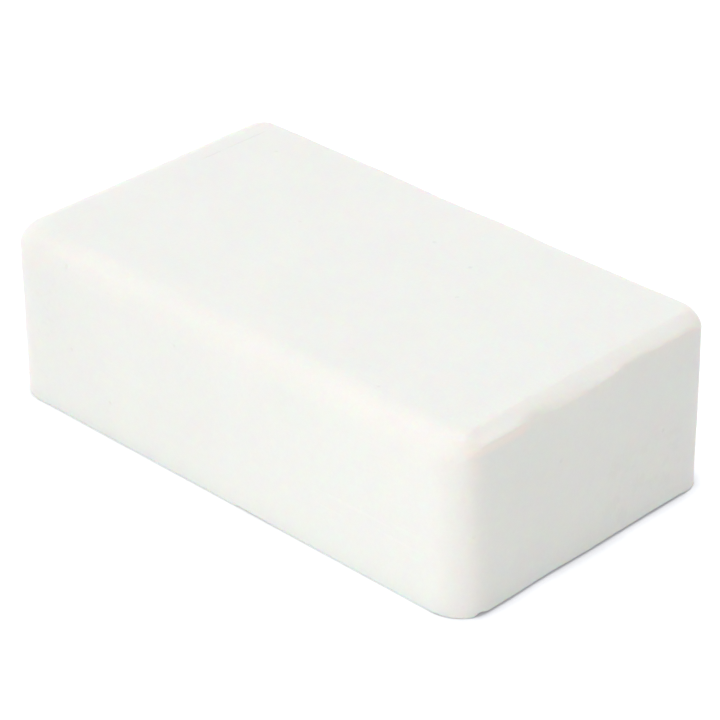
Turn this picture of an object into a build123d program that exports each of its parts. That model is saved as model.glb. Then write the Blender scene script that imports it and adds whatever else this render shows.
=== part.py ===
"""Gymnastics chalk block: one solid brick of magnesium carbonate, pressed in a mould.

Frame: millimetres, +X along the length, +Y across the width, +Z up.
The origin is the centre of the base, where the block rests.
"""
import os

from build123d import *

# Driving dimensions
length = 90.0
width = 51.0
height = 27.5

# Mould form. The walls lean in towards the base, so the pressed block leaves its mould.
wall_draft = 0.3  # degrees
left_front_radius = 5.2  # upright corners, each named by its end and side
right_front_radius = 5.3
right_back_radius = 5.0
left_back_radius = 4.3
top_edge_radius = 3.2
base_edge_radius = 0.7

# Right end face (+X). It is set back a little below a wavy lip, and a thin foot is left at the base.
end_setback = 0.35
foot_height = 1.4
lip_shallow = 1.0  # depth of the lip below the top, where it is nearest to the top
lip_deep = 3.3  # depth where it dips furthest
lip_depth_at_corners = 2.2
nick_radius = 1.5
nick_spacing = 4.6
nick_count = 3
nick_bite = 0.5  # how far each nick reaches into the foot


def outline_corners():
    """Corners of the plan outline, anticlockwise from the left front."""
    half_length = length / 2
    half_width = width / 2
    return [
        (-half_length, -half_width),
        (half_length, -half_width),
        (half_length, half_width),
        (-half_length, half_width),
    ]


def lip_points():
    """Points of the lip's edge across the end face, from front to back: local X is +Y, local Y is +Z."""
    half_width = width / 2
    return [
        (-half_width, height - lip_depth_at_corners),
        (-0.45 * half_width, height - 0.5 * (lip_shallow + lip_deep)),
        (-0.10 * half_width, height - lip_deep),
        (0.35 * half_width, height - lip_shallow),
        (half_width, height - lip_depth_at_corners),
    ]


def nick_places():
    """Centres of the nicks in the foot's edge, in from the right front corner, on the base plane."""
    centre_x = length / 2 + nick_radius - nick_bite
    first_y = -width / 2 + right_front_radius
    return [(centre_x, first_y + step * nick_spacing, 0) for step in range(nick_count)]


with BuildPart() as chalk_block:
    # Pressed body: the outline at the top, drawn down to the base with draft
    with BuildSketch(Plane.XY.offset(height)):
        with BuildLine():
            FilletPolyline(
                *outline_corners(),
                radius=[left_front_radius, right_front_radius, right_back_radius, left_back_radius],
                close=True,
            )
        make_face()
    extrude(amount=-height, taper=wall_draft)
    fillet(chalk_block.faces().sort_by(Axis.Z)[-1].edges(), radius=top_edge_radius)
    fillet(chalk_block.faces().sort_by(Axis.Z)[0].edges(), radius=base_edge_radius)

    # Right end face, set back under the lip and above the foot
    with BuildSketch(Plane.YZ.offset(length / 2)):
        with BuildLine():
            points = lip_points()
            Spline(*points)
            Polyline(points[-1], (width / 2, foot_height), (-width / 2, foot_height), points[0])
        make_face()
    extrude(amount=-end_setback, mode=Mode.SUBTRACT)

    # Nicks where the foot's thin edge has crumbled away
    with Locations(*nick_places()):
        Cylinder(nick_radius, 2 * foot_height, mode=Mode.SUBTRACT)

chalk_block.part.label = "chalk_block"

os.makedirs("parts", exist_ok=True)
export_step(chalk_block.part, "parts/chalk_block.step")
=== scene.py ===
"""Looks for the gymnastics chalk block: one pressed brick with a worn, lipped end, on a pale floor.

The shape is worked out in millimetres in the row frame (+X length, +Y width, +Z up, origin at the centre
of the base) and written to the mesh in metres. Its length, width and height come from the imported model.
"""
import math

import bpy
import numpy as np
from mathutils import Matrix, Vector


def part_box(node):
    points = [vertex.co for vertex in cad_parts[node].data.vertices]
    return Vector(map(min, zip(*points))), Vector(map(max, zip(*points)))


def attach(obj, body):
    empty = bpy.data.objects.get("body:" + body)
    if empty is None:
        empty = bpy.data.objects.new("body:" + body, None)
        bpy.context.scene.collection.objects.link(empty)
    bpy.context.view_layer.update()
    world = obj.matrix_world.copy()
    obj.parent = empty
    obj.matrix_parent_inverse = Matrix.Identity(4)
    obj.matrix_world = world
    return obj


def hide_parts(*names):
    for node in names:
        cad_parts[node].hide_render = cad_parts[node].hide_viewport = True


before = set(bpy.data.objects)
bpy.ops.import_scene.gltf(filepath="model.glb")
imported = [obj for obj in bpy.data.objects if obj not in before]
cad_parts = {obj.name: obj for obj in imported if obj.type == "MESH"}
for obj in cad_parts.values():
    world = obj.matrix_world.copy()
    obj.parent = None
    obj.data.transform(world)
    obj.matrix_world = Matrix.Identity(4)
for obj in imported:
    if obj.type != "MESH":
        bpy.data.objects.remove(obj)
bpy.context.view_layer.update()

MM = 0.001
NODE = "chalk_block"

node_low, node_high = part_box(NODE)
length, width, height = [size / MM for size in node_high - node_low]

# Mesh density
LENGTH_CELLS = 184  # along each long side
WIDTH_CELLS = 108  # along each short side
TOP_ARC_ROWS = 14
LIP_ROWS = 8
WALL_ROWS = 44
BASE_ARC_ROWS = 7
UNDERSIDE_ROWS = 5
WALL_SPACING = 1.2  # above 1, the rows down the wall are closer together under the lip

# Rounding. Corners go round from the left front (-X, -Y), and sides from the front (-Y).
CORNER_RADII = (5.15, 5.75, 5.3, 4.3)
TOP_RADII = (3.7, 2.85, 2.7, 3.65)
BASE_RADII = (0.2, 0.15, 0.5, 0.4)
BASE_LEAN = (0.0, 0.0, 0.1, 0.1)  # how far each wall leans in by the time it meets the base
RADIUS_SHARPNESS = 2  # how quickly one side's radius gives way to the next one round a corner

# ---------------------------------------------------------------- helpers

def smooth_step(low, high, value):
    """0 below low, 1 above high, and a smooth rise between."""
    t = np.clip((value - low) / (high - low), 0, 1)
    return t * t * (3 - 2 * t)


def curve_through(stations, values, at):
    """A smooth curve through a few (station, value) pairs, read at the places in at."""
    stations = np.asarray(stations, float)
    values = np.asarray(values, float)
    slopes = np.gradient(values, stations)
    at = np.clip(at, stations[0], stations[-1])
    k = np.clip(np.searchsorted(stations, at) - 1, 0, len(stations) - 2)
    span = stations[k + 1] - stations[k]
    t = (at - stations[k]) / span
    start = (2 * t**3 - 3 * t**2 + 1) * values[k] + (t**3 - 2 * t**2 + t) * span * slopes[k]
    end = (3 * t**2 - 2 * t**3) * values[k + 1] + (t**3 - t**2) * span * slopes[k + 1]
    return start + end


def ripples(points, wavelength, seed, count=14):
    """Smooth seeded noise of about unit size, with features about one wavelength across."""
    rng = np.random.default_rng(seed)
    directions = rng.normal(size=(count, 3))
    directions /= np.linalg.norm(directions, axis=1, keepdims=True)
    stretch = rng.uniform(0.7, 1.4, count)
    phases = rng.uniform(0, 2 * math.pi, count)
    angles = points @ (directions * stretch[:, None]).T * (2 * math.pi / wavelength) + phases
    return np.sin(angles).sum(axis=1) / math.sqrt(count / 2)


def uneven(points, change):
    """How far each point moves for an unevenness given as its height, wavelength and seed."""
    size, wavelength, seed = change
    return size * ripples(points, wavelength, seed)


# ---------------------------------------------------------------- plan outline

def outline():
    """Points and outward directions of the plan outline.

    They run anticlockwise, from the middle of the left front corner.
    """
    half_length = length / 2
    half_width = width / 2
    signs = ((-1, -1), (1, -1), (1, 1), (-1, 1))
    centres = [
        np.array((sx * (half_length - r), sy * (half_width - r)))
        for (sx, sy), r in zip(signs, CORNER_RADII)
    ]
    points = []
    angles = []
    for side in range(4):
        first, last = side, (side + 1) % 4
        facing = math.radians(90 * side - 90)
        first_arc = CORNER_RADII[first] * math.pi / 4
        last_arc = CORNER_RADII[last] * math.pi / 4
        full = length if side % 2 == 0 else width
        straight = full - CORNER_RADII[first] - CORNER_RADII[last]
        cells = LENGTH_CELLS if side % 2 == 0 else WIDTH_CELLS
        for distance in np.linspace(0, first_arc + straight + last_arc, cells, endpoint=False):
            into_last = distance - first_arc - straight
            if distance < first_arc:
                angle = facing - math.pi / 4 + distance / CORNER_RADII[first]
                centre, radius = centres[first], CORNER_RADII[first]
                along = 0
            elif into_last < 0:
                angle = facing
                centre, radius = centres[first], CORNER_RADII[first]
                along = distance - first_arc
            else:
                angle = facing + into_last / CORNER_RADII[last]
                centre, radius = centres[last], CORNER_RADII[last]
                along = 0
            way = np.array((math.cos(facing + math.pi / 2), math.sin(facing + math.pi / 2)))
            points.append(centre + radius * np.array((math.cos(angle), math.sin(angle))) + along * way)
            angles.append(angle)
    angles = np.array(angles)
    return np.array(points), np.column_stack((np.cos(angles), np.sin(angles)))


def mix_sides(values, out):
    """A value at each outline point, from one value a side, blended round the corners."""
    front, right, back, left = values
    x, y = out[:, 0], out[:, 1]
    return (
        np.clip(-y, 0, 1) ** RADIUS_SHARPNESS * front
        + np.clip(x, 0, 1) ** RADIUS_SHARPNESS * right
        + np.clip(y, 0, 1) ** RADIUS_SHARPNESS * back
        + np.clip(-x, 0, 1) ** RADIUS_SHARPNESS * left
    )


# ---------------------------------------------------------------- block

# Right end face and its lip
SETBACK = 0.6  # how far the right end face stands back at the top
CORNER_SETBACK = 0.65  # and how much further at the front corner
CORNER_FADE = (-25.5, -21.0)  # Y, where that extra dies out
WAVE_START = 1.0  # depth below the top at which the lip's wave starts to fade
WAVE_FADE = 5.0
LIP_STATIONS = (-25, -22.8, -20, -17, -14, -11.3, -8, -5, -2, 1, 4, 7, 10, 14, 19, 25)  # Y
LIP_WAVE = (
    0.02, 0.10, -0.08, -0.12, 0.0, 0.34, -0.14, -0.54,
    -0.52, -0.38, -0.25, 0.32, 0.40, 0.08, 0.12, 0.12,
)
SOFTNESS_STATIONS = (-25, -15, -11, -4, 2, 6, 25)  # Y
LIP_SOFTNESS = (0.8, 0.7, 1.3, 1.1, 0.9, 1.1, 1.2)
LIP_SPREAD = 0.25  # share of the top edge, each side of the lip, with finer rows, per mm of softness
LIP_SEARCH_STEPS = 120

# Worn bevel over the right end. In one stretch, in front of the middle, it gets steeper near the lip.
WORN_WIDTH = 4.0
WORN_SHARPNESS = 6  # how quickly the bevel gives way to the quarter round at the corners
UPPER_START = 3.2  # how far in its upper part begins, and its steeper lower part nearer the lip
UPPER_SLOPE = 0.38
UPPER_BEND = 0.4
LOWER_START = 1.4
LOWER_SLOPE = 0.35
LOWER_BEND = 0.5
LOWER_RISE = (-15, -10)  # Y, where the lower part comes in
LOWER_FALL = (-2, 3)  # and where it dies out

# Gap under the base edge
GAP = 0.37  # under the right end
GAP_DEPTH = 6.0  # how far in the base comes down to the floor
GAP_FLAT = 0.6  # share of that depth over which the gap keeps its height
GAP_RISE = (-22.9, -21.9)  # Y, where the gap opens by the front corner
GAP_FALL = (19.0, 22.5)  # and where it closes at the back
NOTCH = 0.25  # more in a notch by the front corner
NOTCH_Y = -21.5
NOTCH_WIDTH = 0.7
FRONT_GAP = 0.08  # a hairline under the front
CHIP = 0.16  # more under the front, right of the middle
CHIP_RISE = (1.6, 2.2)  # X, where the chip starts
CHIP_FALL = (5.0, 13.0)  # and where it dies out
END_FACING = (0.5, 0.8)  # X part of the outward direction, where it starts and fully faces the end
FRONT_FACING = (0.9, 1.0)  # the same for the front, with its -Y part

# Unevenness: how far in and out, its wavelength, and the seed of its draws
TOP_RADIUS_CHANGE = (0.1, 22, 3)
BASE_RADIUS_CHANGE = (0.04, 9, 5)
SLOW_UNEVENNESS = (0.025, 34, 11)
BROAD_UNEVENNESS = (0.010, 9, 12)
EDGE_WEAR = (0.020, 5, 13)
FINE_UNEVENNESS = (0.006, 2.2, 14)
EDGE_BLEND = 0.3  # how far a normal has turned away from the axes where the edge wear is full
STILL_HEIGHT = 1.5  # below this height the unevenness dies out, so the block stands flat


def end_setback(y):
    """How far the right end face stands back at the top, more so by the front corner."""
    return SETBACK + CORNER_SETBACK * (1 - smooth_step(*CORNER_FADE, y))


def lip_wave(y):
    """How much further the end face stands back just below the lip, from front to back."""
    return curve_through(LIP_STATIONS, LIP_WAVE, y)


def lip_softness(y):
    """How rounded the lip is: crisp near the front corner, and softer behind it."""
    return curve_through(SOFTNESS_STATIONS, LIP_SOFTNESS, y)


def lower_slope(y):
    """Slope of the lower part of the worn bevel, which is there only in one stretch."""
    return LOWER_SLOPE * smooth_step(*LOWER_RISE, y) * (1 - smooth_step(*LOWER_FALL, y))


def end_wall(y, z):
    """Where the right end face stands, in X.

    It comes forward towards the base, and the lip's wave dies out on the way down.
    """
    depth = np.clip(height - z, 0, height)
    broad = end_setback(y) * (1 - depth / height)
    return length / 2 - broad - lip_wave(y) * np.exp(-np.maximum(depth - WAVE_START, 0) / WAVE_FADE)


def base_gap(points, out):
    """Height of the gap under the base edge: along the right end, and a hairline under the front."""
    x, y = points[:, 0], points[:, 1]
    facing_end = smooth_step(*END_FACING, out[:, 0])
    rise = smooth_step(*GAP_RISE, y)
    notch = NOTCH * np.exp(-(((y - NOTCH_Y) / NOTCH_WIDTH) ** 2))
    fall = 1 - smooth_step(*GAP_FALL, y)
    facing_front = smooth_step(*FRONT_FACING, -out[:, 1])
    chip = CHIP * smooth_step(*CHIP_RISE, x) * (1 - smooth_step(*CHIP_FALL, x))
    return facing_end * rise * fall * (GAP + notch) + facing_front * (FRONT_GAP + chip)


def soft_min(a, b, blend):
    """The smaller of a and b, with the corner between them rounded off over the distance blend."""
    h = np.clip(0.5 + 0.5 * (b - a) / blend, 0, 1)
    return b + (a - b) * h - blend * h * (1 - h)


def soft_ramp(value, blend):
    """0 for a negative value and the value itself for a positive one, with a smooth bend between."""
    return (value + np.sqrt(value**2 + blend**2)) / 2


def side_rings(points, out):
    """Rings of the block's side: over the top edge and the lip, down the wall, and under the base edge."""
    place = np.column_stack((points, np.zeros(len(points))))
    radius = mix_sides(TOP_RADII, out) + uneven(place, TOP_RADIUS_CHANGE)
    lean = mix_sides(BASE_LEAN, out)
    base_radius = mix_sides(BASE_RADII, out) + uneven(place, BASE_RADIUS_CHANGE)
    gap = base_gap(points, out)
    softness = lip_softness(points[:, 1])
    right_share = np.clip(out[:, 0], 0, 1) ** WORN_SHARPNESS

    def top_edge(t):
        """Inset and depth over the top edge, for t from 0 on top to 1 on the wall.

        The edge is a quarter round, but over the right end it is worn down to a shallow bevel.
        """
        angle = t * math.pi / 2
        round_inset = radius * (1 - np.sin(angle))
        round_depth = radius * (1 - np.cos(angle))
        worn_inset = WORN_WIDTH * (1 - t)
        worn_depth = UPPER_SLOPE * soft_ramp(UPPER_START - worn_inset, UPPER_BEND)
        worn_depth += lower_slope(points[:, 1]) * soft_ramp(LOWER_START - worn_inset, LOWER_BEND)
        inset = (1 - right_share) * round_inset + right_share * worn_inset
        depth = (1 - right_share) * round_depth + right_share * worn_depth
        return inset, depth

    def ring_at(inset, depth):
        """The ring at an inset and depth, cut back by the right end face."""
        z = height - depth
        ring = points - (inset + lean * depth / height)[:, None] * out
        ring[:, 0] = soft_min(ring[:, 0], end_wall(ring[:, 1], z), softness)
        return np.column_stack((ring, z))

    # Find the lip, where the top edge reaches the end face. Elsewhere the edge simply ends in the wall.
    lip = np.ones(len(points))
    for t in np.linspace(1, 0, LIP_SEARCH_STEPS):
        inset, depth = top_edge(np.full(len(points), t))
        x = points[:, 0] - inset * out[:, 0]
        beyond = x > end_wall(points[:, 1] - inset * out[:, 1], height - depth)
        lip = np.where(beyond, t, lip)
    spread = LIP_SPREAD * softness
    before = lip - spread
    after = np.minimum(lip + spread, 1)

    steps = [before * step / TOP_ARC_ROWS for step in range(TOP_ARC_ROWS + 1)]
    steps += [before + (after - before) * step / LIP_ROWS for step in range(1, LIP_ROWS + 1)]
    rings = [ring_at(*top_edge(t)) for t in steps]
    # Down the wall
    first_inset, first_depth = top_edge(after)
    last_depth = height - gap - base_radius
    for step in range(1, WALL_ROWS + 1):
        depth = first_depth + (last_depth - first_depth) * (step / WALL_ROWS) ** WALL_SPACING
        rings.append(ring_at(first_inset * np.clip(1 - (depth - first_depth), 0, 1), depth))
    # Round the base edge
    foot = rings[-1][:, :2]
    for step in range(1, BASE_ARC_ROWS + 1):
        angle = math.pi / 2 * step / BASE_ARC_ROWS
        ring = foot - (base_radius * (1 - np.cos(angle)))[:, None] * out
        rings.append(np.column_stack((ring, gap + base_radius * (1 - np.sin(angle)))))
    # Under the base, from the gap down to the floor
    foot = rings[-1][:, :2]
    for step in range(1, UNDERSIDE_ROWS + 1):
        t = step / UNDERSIDE_ROWS
        rise = gap * (1 - smooth_step(GAP_FLAT, 1, t))
        rings.append(np.column_stack((foot - GAP_DEPTH * t * out, rise)))
    return rings


def fill_face(rim):
    """A grid of points inside a closed ring, blended from its four sides.

    It has LENGTH_CELLS + 1 points one way and WIDTH_CELLS + 1 the other.
    """
    n, m = LENGTH_CELLS, WIDTH_CELLS
    front = rim[: n + 1]
    right = rim[n : n + m + 1]
    back = rim[n + m : 2 * n + m + 1][::-1]
    left = np.vstack((rim[2 * n + m :], rim[:1]))[::-1]
    s = np.linspace(0, 1, n + 1)[:, None, None]
    t = np.linspace(0, 1, m + 1)[None, :, None]
    across = (1 - t) * front[:, None] + t * back[:, None]
    along = (1 - s) * left[None] + s * right[None]
    corners = (
        (1 - s) * (1 - t) * front[0]
        + s * (1 - t) * front[-1]
        + (1 - s) * t * back[0]
        + s * t * back[-1]
    )
    return across + along - corners


def rim_indices():
    """Grid indices of fill_face's boundary, in the order of the ring."""
    n, m = LENGTH_CELLS, WIDTH_CELLS
    front = [(i, 0) for i in range(n)]
    right = [(n, j) for j in range(m)]
    back = [(n - i, m) for i in range(n)]
    left = [(0, m - j) for j in range(m)]
    return front + right + back + left


def block_surface():
    """Vertices, in millimetres, and faces of the whole closed block."""
    points, out = outline()
    count = len(points)
    rings = side_rings(points, out)
    vertices = list(rings)
    faces = []
    for row in range(len(rings) - 1):
        for i in range(count):
            k = (i + 1) % count
            a, b = row * count, (row + 1) * count
            faces.append((a + i, b + i, b + k, a + k))
    offset = len(rings) * count
    for ring_row, flip in ((0, False), (len(rings) - 1, True)):
        grid = fill_face(rings[ring_row])
        number = np.full(grid.shape[:2], -1)
        for i, cell in enumerate(rim_indices()):
            number[cell] = ring_row * count + i
        inside = number < 0
        number[inside] = offset + np.arange(inside.sum())
        offset += inside.sum()
        vertices.append(grid[inside])
        for i in range(LENGTH_CELLS):
            for j in range(WIDTH_CELLS):
                face = (number[i, j], number[i + 1, j], number[i + 1, j + 1], number[i, j + 1])
                faces.append(face[::-1] if flip else face)
    return np.vstack(vertices), faces


def surface_normals(vertices, faces):
    """Unit normal at each vertex."""
    quads = np.array(faces)
    cross = np.cross(
        vertices[quads[:, 2]] - vertices[quads[:, 0]],
        vertices[quads[:, 3]] - vertices[quads[:, 1]],
    )
    normals = np.zeros_like(vertices)
    for corner in range(4):
        np.add.at(normals, quads[:, corner], cross)
    return normals / np.maximum(np.linalg.norm(normals, axis=1, keepdims=True), 1e-12)


def weather(vertices, normals):
    """Moves the surface in and out a little: unevenness from pressing, and wear on the edges."""
    edge = 1 - np.max(np.abs(normals), axis=1)
    push = uneven(vertices, SLOW_UNEVENNESS)
    push += uneven(vertices, BROAD_UNEVENNESS)
    push += np.clip(edge / EDGE_BLEND, 0, 1) * uneven(vertices, EDGE_WEAR)
    push += uneven(vertices, FINE_UNEVENNESS)
    off_floor = smooth_step(0.0, STILL_HEIGHT, vertices[:, 2])
    return vertices + normals * (push * off_floor)[:, None]


def keep_in_box(vertices):
    """Scales the shape by a hair so that it fills the CAD node's box exactly."""
    low, high = vertices.min(axis=0), vertices.max(axis=0)
    target_low = np.array(node_low) / MM
    target_high = np.array(node_high) / MM
    return target_low + (vertices - low) * (target_high - target_low) / (high - low)


def make_block():
    """The block as one closed mesh in metres."""
    vertices, faces = block_surface()
    vertices = weather(vertices, surface_normals(vertices, faces))
    vertices = keep_in_box(vertices)
    mesh = bpy.data.meshes.new("pressed_block")
    mesh.from_pydata((vertices * MM).tolist(), [], [tuple(int(i) for i in f) for f in faces])
    mesh.shade_smooth()
    mesh.update()
    block = bpy.data.objects.new("pressed_block", mesh)
    bpy.context.scene.collection.objects.link(block)
    return block


# ---------------------------------------------------------------- materials

# Chalk colours. The surface lies between them, CHALK_SHARE of the way from dark to light.
CHALK_DARK = (0.675, 0.666, 0.611)
CHALK_LIGHT = (0.792, 0.788, 0.730)
CHALK_SHARE = 0.75
LIP_GLOW_COLOUR = (0.93, 0.80, 0.69)  # painted glow: warm colour standing in for light shining through the lip
GAP_SHADE_COLOUR = (0.30, 0.29, 0.28)  # painted shade: dark colour standing in for the shadow in the gap under the base
CHALK_ROUGHNESS = 0.47
CHALK_SPECULAR = 0.4
SCATTER_DEPTH = 2.2  # how far light scatters under the surface, in mm
SCATTER_COLOUR = (1.0, 0.4, 0.2)  # share of that depth for red, green and blue
EDGE_FLATNESS = (0.72, 0.97)  # largest part of the normal, from the middle of an edge to a flat face
DOWN_FACING = (-0.9, -0.5)  # Z part of the normal, from facing down to facing out, for the painted shade in the gap
# How far the colour goes towards the painted glow, below the lip and down the corner
LIP_GLOW_SHARE = 0.3
CORNER_GLOW_SHARE = 0.12

# Blends from one face to the next, in mm in from the front, from the right end and from the top
FRONT_BLEND = (0.4, 1.2)
END_BLEND = (2.2, 1.4)
TOP_BLEND = (0.6, 0.2)

# Sizes of the patterns, in mm
BROAD_SIZE = 14
MOTTLE_SIZE = 2.6
GRAIN_SIZE = 0.45
SPECKLE_SIZE = 0.9
BLOTCH_SIZE = 2.2
RUBBED_SIZE = 1.0
RUBBED_PLACES_SIZE = 16
PIT_CELL = 4.5

# Levels of each noise between which a mark comes in
SPECKLE_LEVELS = (0.56, 0.66)
BLOTCH_LEVELS = (0.50, 0.62)
CREASE_LEVELS = (0.36, 0.50)
RUBBED_LEVELS = (0.60, 0.68)
RUBBED_PLACES_LEVELS = (0.52, 0.62)
PIT_LEVELS = (0.62, 0.70)

RUBBED_SCALE = (0.05, 1.2, 1.6)  # of the noise's coordinates, so that the lines run along X
RUBBED_TURN = 4  # degrees about Z
RUBBED_FAINT = 0.35  # strength of the lines outside their patch
PIT_RADII = (0.03, 0.10)  # floor and rim of a pit, in cells

# Patches: from, to and blend along each axis, in mm
SPECKLES_X = (-42, -33, 2)  # at the left of the front
SPECKLES_Z = (9, 24, 3)
BLOTCHES_Y = (2, 21, 4)  # low on the right end, at the back
BLOTCHES_Z = (1, 13, 4)
GRAIN_X = (33, 45, 4)  # over the right of the top
RUBBED_X = (17, 38, 3)  # low on the front
RUBBED_Z = (6.5, 11.5, 1)
CREST_HIGHLIGHT_Y = (-22, -16, 3)  # painted highlight, just above the lip, by the front corner
CREST_HIGHLIGHT_Z = (26.5, 27.0, 0.25)
CREASE_X = (-39.2, -39.0, 0.08)  # a groove on the top along the left end, darkened as painted shade
CREASE_Y = (8, 20.8, 1)
LIP_GLOW_Y = (-23.4, -12, 2)  # painted glow, just below the lip, by the front corner
LIP_GLOW_Z = (24.7, 25.8, 0.4)
CORNER_GLOW_Y = (-23.2, -21.8, 0.7)  # and down the corner, also painted glow
CORNER_GLOW_Z = (21, 24.2, 1.2)


class Shading:
    """Short ways to add and join the nodes of one material."""

    def __init__(self, tree):
        self.tree = tree

    def add(self, kind, output, inputs, **settings):
        """Adds a node and gives one of its outputs. Each input is a value, or another node's output."""
        node = self.tree.nodes.new(kind)
        for name, value in settings.items():
            setattr(node, name, value)
        for name, value in inputs.items():
            if isinstance(value, bpy.types.NodeSocket):
                self.tree.links.new(value, node.inputs[name])
            else:
                node.inputs[name].default_value = value
        return node.outputs[output]

    def math(self, operation, a, b):
        """One step of arithmetic on two values."""
        return self.add("ShaderNodeMath", "Value", {0: a, 1: b}, operation=operation)

    def part(self, vector, axis):
        """The X, Y or Z part of a vector."""
        return self.add("ShaderNodeSeparateXYZ", axis, {"Vector": vector})

    def swing(self, pattern, amount):
        """A pattern from 0 to 1 turned into a change of the given amount, up and down about 0."""
        return self.product(self.math("SUBTRACT", pattern, 0.5), amount)

    def product(self, *factors):
        """All the factors multiplied together."""
        result = factors[0]
        for factor in factors[1:]:
            result = self.math("MULTIPLY", result, factor)
        return result

    def total(self, *terms):
        """All the terms added together."""
        result = terms[0]
        for term in terms[1:]:
            result = self.math("ADD", result, term)
        return result

    def ramp(self, value, low, high, start=0.0, end=1.0):
        """A smooth change from start, below low, to end, above high."""
        inputs = {"Value": value, "From Min": low, "From Max": high, "To Min": start, "To Max": end}
        return self.add("ShaderNodeMapRange", "Result", inputs, interpolation_type="SMOOTHSTEP")

    def mix(self, share, first, second):
        """The colour that is the given share of the way from first to second."""
        return self.add("ShaderNodeMix", 2, {0: share, 6: first, 7: second}, data_type="RGBA")

    def window(self, value, low, high, blend):
        """1 between low and high, in millimetres, and 0 outside, blended over twice the distance blend."""
        rise = self.ramp(value, (low - blend) * MM, (low + blend) * MM)
        fall = self.ramp(value, (high - blend) * MM, (high + blend) * MM)
        return self.math("SUBTRACT", rise, fall)

    def noise(self, place, size, detail=2.0):
        """Noise from 0 to 1 with features of about the given size in millimetres."""
        inputs = {"Vector": place, "Scale": 1 / (size * MM), "Detail": detail}
        return self.add("ShaderNodeTexNoise", "Fac", inputs)

    def stretched(self, place, scale, turn):
        """The place scaled along each axis and turned about Z, for streaks."""
        inputs = {"Vector": place, "Rotation": (0, 0, math.radians(turn)), "Scale": scale}
        return self.add("ShaderNodeMapping", "Vector", inputs)


def chalk_pits(shading, place):
    """1 in small round pits scattered over the surface, and 0 between them."""
    inputs = {"Vector": place, "Scale": 1 / (PIT_CELL * MM)}
    distance = shading.add("ShaderNodeTexVoronoi", "Distance", inputs)
    pick = shading.add("ShaderNodeTexVoronoi", "Color", inputs)
    chosen = shading.ramp(shading.add("ShaderNodeSeparateColor", "Red", {"Color": pick}), *PIT_LEVELS)
    return shading.product(chosen, shading.ramp(distance, *PIT_RADII, 1.0, 0.0))


def chalk_scratches(shading, place, x, z, front):
    """Fine rubbed lines along the block: a cluster low on the front, and a few faint ones elsewhere."""
    stretched = shading.stretched(place, RUBBED_SCALE, RUBBED_TURN)
    lines = shading.noise(stretched, RUBBED_SIZE, 1.0)
    cluster = shading.product(front, shading.window(x, *RUBBED_X), shading.window(z, *RUBBED_Z))
    places = shading.noise(place, RUBBED_PLACES_SIZE)
    few = shading.ramp(places, *RUBBED_PLACES_LEVELS, 0.0, RUBBED_FAINT)
    return shading.product(shading.ramp(lines, *RUBBED_LEVELS), shading.math("MAXIMUM", cluster, few))


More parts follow.
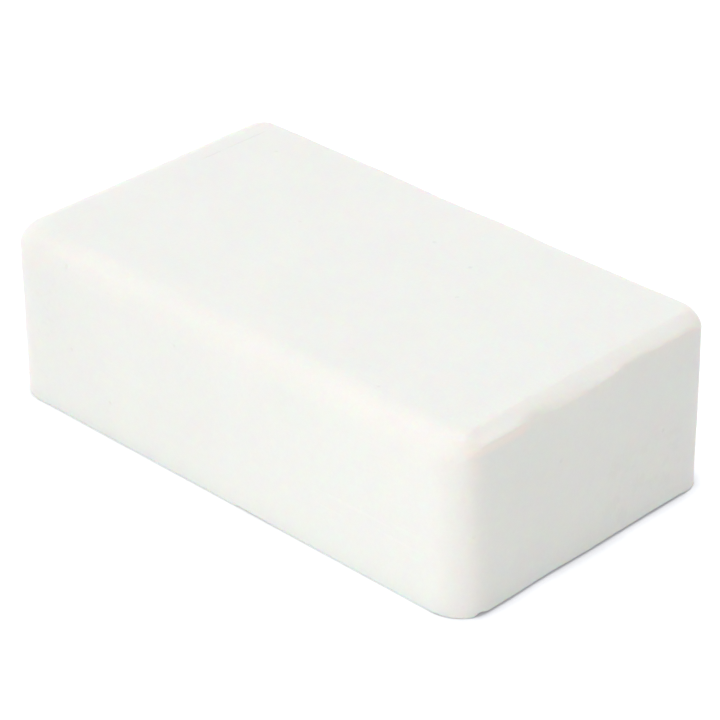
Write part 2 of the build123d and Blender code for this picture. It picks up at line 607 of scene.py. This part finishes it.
def chalk_material():
    """Pressed chalk: satin ivory white, slightly translucent, with grain, mottling, pits and scratches.
    Some light and shade is painted into its colour: a highlight and a warm glow at the lip, lighter edges,
    and shade in the pits, in the crease and in the gap under the base.
    """
    material = bpy.data.materials.new("pressed_chalk")
    material.use_nodes = True
    tree = material.node_tree
    shading = Shading(tree)
    place = shading.add("ShaderNodeTexCoord", "Object", {})
    normal = shading.add("ShaderNodeTexCoord", "Normal", {})
    x, y, z = [shading.part(place, axis) for axis in "XYZ"]

    # Which face this is, and how close it is to an edge
    front = shading.ramp(y, *[(-width / 2 + inset) * MM for inset in FRONT_BLEND], 1.0, 0.0)
    end = shading.ramp(x, *[(length / 2 - inset) * MM for inset in END_BLEND])
    top = shading.ramp(z, *[(height - inset) * MM for inset in TOP_BLEND])
    faced = shading.add("ShaderNodeVectorMath", "Vector", {0: normal}, operation="ABSOLUTE")
    face_x, face_y, face_z = [shading.part(faced, axis) for axis in "XYZ"]
    flattest = shading.math("MAXIMUM", shading.math("MAXIMUM", face_x, face_y), face_z)
    edge = shading.ramp(flattest, *EDGE_FLATNESS, 1.0, 0.0)

    # Patterns over the whole block. The noises are about 0.5 on average.
    broad = shading.noise(place, BROAD_SIZE, 3.0)
    mottle = shading.noise(place, MOTTLE_SIZE, 3.0)
    grain = shading.noise(place, GRAIN_SIZE)
    pits = chalk_pits(shading, place)
    scratches = chalk_scratches(shading, place, x, z, front)

    # The patches, one for each place listed above
    speckle_patch = shading.product(front, shading.window(x, *SPECKLES_X), shading.window(z, *SPECKLES_Z))
    speckles = shading.ramp(shading.noise(place, SPECKLE_SIZE), *SPECKLE_LEVELS)
    blotch_patch = shading.product(end, shading.window(y, *BLOTCHES_Y), shading.window(z, *BLOTCHES_Z))
    blotches = shading.ramp(shading.noise(place, BLOTCH_SIZE, 3.0), *BLOTCH_LEVELS)
    grain_patch = shading.product(top, shading.window(x, *GRAIN_X))
    crest_highlight = shading.product(end, shading.window(y, *CREST_HIGHLIGHT_Y), shading.window(z, *CREST_HIGHLIGHT_Z))
    crease = shading.product(top, shading.window(x, *CREASE_X), shading.window(y, *CREASE_Y))
    crease = shading.product(crease, shading.ramp(mottle, *CREASE_LEVELS))
    lip_glow = shading.product(end, shading.window(y, *LIP_GLOW_Y), shading.window(z, *LIP_GLOW_Z))
    corner_glow = shading.product(end, shading.window(y, *CORNER_GLOW_Y), shading.window(z, *CORNER_GLOW_Z))

    # Colour: each term moves it towards light chalk, or towards dark chalk below 0
    share = shading.total(
        # Painted highlight: lighter just above the lip
        shading.product(crest_highlight, 0.08),
        # Darker along the crease: painted shade in the groove
        shading.product(crease, -0.4),
        shading.swing(broad, 0.20),
        shading.swing(mottle, 0.18),
        shading.swing(grain, 0.25),
        # Edges lighter: partly powdery wear, partly a painted highlight
        shading.product(edge, 0.06),
        # Darker in the pits: painted shade in the hollows
        shading.product(pits, -0.3),
        shading.product(scratches, 0.12),
        shading.product(speckle_patch, speckles, -0.12),
        shading.product(blotch_patch, blotches, -0.15),
        CHALK_SHARE,
    )
    shade = shading.mix(share, (*CHALK_DARK, 1), (*CHALK_LIGHT, 1))
    # Painted glow: a warm tint just below the lip and down the front corner, in place of light shining
    # through the lip
    painted_glow = shading.total(
        shading.product(lip_glow, LIP_GLOW_SHARE),
        shading.product(corner_glow, CORNER_GLOW_SHARE),
    )
    shade = shading.mix(painted_glow, shade, (*LIP_GLOW_COLOUR, 1))
    # Painted shade: faces turned down under the right end go towards a dark grey, standing in for the
    # shadow in the gap
    down = shading.ramp(shading.part(normal, "Z"), *DOWN_FACING, 1.0, 0.0)
    painted_gap_shade = shading.product(down, shading.window(x, length / 2 - GAP_DEPTH, length / 2 + 1, 1))
    shade = shading.mix(painted_gap_shade, shade, (*GAP_SHADE_COLOUR, 1))

    # Gloss: handled edges are a little polished, and pits and scratches are powdery
    roughness = shading.total(
        shading.swing(mottle, 0.30),
        shading.swing(broad, 0.20),
        shading.product(edge, -0.08),
        shading.product(pits, 0.30),
        shading.product(scratches, 0.20),
        CHALK_ROUGHNESS,
    )

    # Relief, in millimetres
    relief = shading.total(
        shading.product(grain, 0.020),
        shading.product(mottle, 0.030),
        shading.product(grain, grain_patch, 0.020),
        shading.product(speckle_patch, speckles, -0.012),
        shading.product(blotch_patch, blotches, -0.015),
        shading.product(scratches, -0.010),
        shading.product(crease, -0.040),
        shading.product(pits, -0.050),
    )
    bump = shading.add("ShaderNodeBump", "Normal", {"Height": relief, "Distance": MM, "Strength": 1.0})

    shader = tree.nodes["Principled BSDF"]
    tree.links.new(shade, shader.inputs["Base Color"])
    tree.links.new(roughness, shader.inputs["Roughness"])
    tree.links.new(bump, shader.inputs["Normal"])
    shader.inputs["Specular IOR Level"].default_value = CHALK_SPECULAR
    shader.inputs["Subsurface Weight"].default_value = 1.0
    shader.inputs["Subsurface Radius"].default_value = SCATTER_COLOUR
    shader.inputs["Subsurface Scale"].default_value = SCATTER_DEPTH * MM
    return material


def floor_material():
    """Plain white studio floor, lit from within a little so that it reads as a clean white sweep."""
    material = bpy.data.materials.new("studio_floor")
    material.use_nodes = True
    shader = material.node_tree.nodes["Principled BSDF"]
    shader.inputs["Base Color"].default_value = (*FLOOR_WHITE, 1)
    shader.inputs["Roughness"].default_value = FLOOR_ROUGHNESS
    shader.inputs["Specular IOR Level"].default_value = 0.0
    shader.inputs["Emission Color"].default_value = (*LIGHT_COLOUR, 1)
    shader.inputs["Emission Strength"].default_value = FLOOR_GLOW
    return material


# ---------------------------------------------------------------- stage

LIGHT_COLOUR = (0.975, 0.99, 1.035)
WORLD = 0.976  # strength of the light tent
DIM_RIGHT = 0.756  # how much weaker it is towards the right
OVERHEAD = 4.74  # power of this softbox, in watts, and of the next
FRONT_RIGHT = 0.102

FLOOR_WHITE = (0.95, 0.95, 0.95)
FLOOR_ROUGHNESS = 0.9
FLOOR_GLOW = 0.12
FLOOR_LENGTHS = 60  # size of the floor, in lengths of the block

# Camera: where it is from the block, in degrees and in lengths of the block, and its lens in mm
CAMERA_AZIMUTH = 44.75
CAMERA_ELEVATION = 30.21
CAMERA_ROLL = -0.50
CAMERA_DISTANCE = 5.402
CAMERA_RIGHT = 0.0101
CAMERA_UP = 0.1161
SENSOR = 36
LENS = 168.75


def outward(azimuth, elevation):
    """Direction out from the block. Azimuth 0 is in front (-Y) and 90 to the right (+X), in degrees."""
    a, e = math.radians(azimuth), math.radians(elevation)
    return Vector((math.sin(a) * math.cos(e), -math.cos(a) * math.cos(e), math.sin(e)))


def make_floor():
    """A large plain floor under the block."""
    size = FLOOR_LENGTHS * length * MM
    bpy.ops.mesh.primitive_plane_add(size=size, location=(0, 0, 0))
    floor = bpy.context.object
    floor.name = "studio_floor"
    floor.data.materials.append(floor_material())


def aim(obj, position, target):
    """Puts obj at position with its -Z axis towards target."""
    obj.location = position
    obj.rotation_euler = (Vector(target) - Vector(position)).to_track_quat("-Z", "Y").to_euler()


def area_light(name, azimuth, elevation, distance, size, power):
    """A square softbox aimed at the block. Its distance and size are in metres."""
    light = bpy.data.lights.new(name, "AREA")
    light.shape = "SQUARE"
    light.size = size
    light.energy = power
    light.color = LIGHT_COLOUR
    obj = bpy.data.objects.new(name, light)
    bpy.context.scene.collection.objects.link(obj)
    aim(obj, outward(azimuth, elevation) * distance, (0, 0, 0))


def make_lights():
    """A light tent that is even all round but darker to the right, and two softboxes."""
    world = bpy.data.worlds.new("studio")
    bpy.context.scene.world = world
    world.use_nodes = True
    nodes, links = world.node_tree.nodes, world.node_tree.links
    background = nodes["Background"]
    background.inputs["Color"].default_value = (*LIGHT_COLOUR, 1)
    place = nodes.new("ShaderNodeTexCoord")
    parts = nodes.new("ShaderNodeSeparateXYZ")
    links.new(place.outputs["Generated"], parts.inputs["Vector"])
    to_right = nodes.new("ShaderNodeMath")
    to_right.operation = "MAXIMUM"
    to_right.inputs[1].default_value = 0
    links.new(parts.outputs["X"], to_right.inputs[0])
    dimmed = nodes.new("ShaderNodeMath")
    dimmed.operation = "MULTIPLY_ADD"
    dimmed.use_clamp = True
    dimmed.inputs[1].default_value = -DIM_RIGHT
    dimmed.inputs[2].default_value = WORLD
    links.new(to_right.outputs["Value"], dimmed.inputs[0])
    links.new(dimmed.outputs["Value"], background.inputs["Strength"])
    area_light("overhead", azimuth=90, elevation=89.2, distance=1.2, size=0.16, power=OVERHEAD)
    area_light("front_right", azimuth=25, elevation=12, distance=0.25, size=0.12, power=FRONT_RIGHT)


def make_camera():
    """Looks down at the corner between the front and the right end."""
    back = outward(CAMERA_AZIMUTH, CAMERA_ELEVATION)
    roll = math.radians(CAMERA_ROLL)
    level_right = Vector((0, 0, 1)).cross(back).normalized()
    level_up = back.cross(level_right)
    right = math.cos(roll) * level_right + math.sin(roll) * level_up
    up = math.cos(roll) * level_up - math.sin(roll) * level_right
    data = bpy.data.cameras.new("camera")
    data.sensor_width = SENSOR
    data.lens = LENS
    data.clip_start = 0.01
    camera = bpy.data.objects.new("camera", data)
    bpy.context.scene.collection.objects.link(camera)
    place = (back * CAMERA_DISTANCE + right * CAMERA_RIGHT + up * CAMERA_UP) * length * MM
    turn = Matrix((right, up, back)).transposed().to_4x4()
    camera.matrix_world = Matrix.Translation(place) @ turn
    bpy.context.scene.camera = camera


# ---------------------------------------------------------------- scene

make_camera()
block = make_block()
block.data.materials.append(chalk_material())
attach(block, "root")
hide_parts(NODE)
make_floor()
make_lights()
bpy.context.scene.view_settings.view_transform = "Standard"
